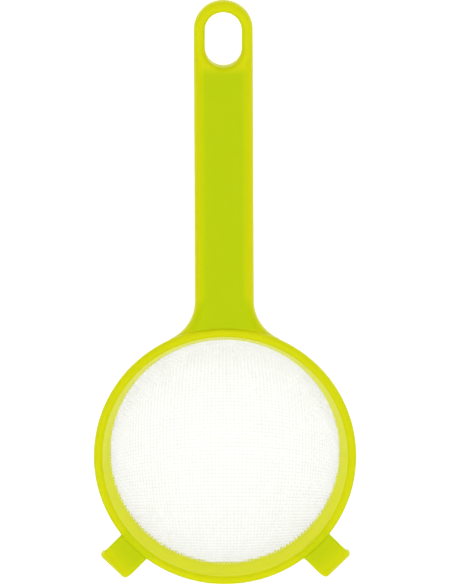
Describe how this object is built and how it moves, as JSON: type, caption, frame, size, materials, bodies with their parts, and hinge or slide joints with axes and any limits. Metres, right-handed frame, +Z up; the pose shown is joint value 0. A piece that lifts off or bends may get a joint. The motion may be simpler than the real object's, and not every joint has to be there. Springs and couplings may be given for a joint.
{
  "type": "double sieve strainer",
  "caption": "Round hand strainer: a moulded plastic ring with a long handle, hanging slot and hook lugs holds a coarse and a fine woven bowl sieve.",
  "frame": {"origin": "centre of the ring, in the plane of the hooks' undersides, which is the plane of the rim of the vessel that the strainer rests on", "axes": "+Z up out of the bowl's mouth, +Y from the ring's centre along the handle to its end, +X to the right seen from above with the handle pointing away"},
  "size_m": [0.1, 0.226, 0.0433],
  "materials": {
    "lime_plastic": "glossy, slightly translucent",
    "coarse_nylon": "woven, satin",
    "fine_nylon": "woven, satin"
  },
  "bodies": {
    "root": {"frame": "lime_plastic", "coarse_sieve": "coarse_nylon", "fine_sieve": "fine_nylon"}
  },
  "joints": []
}
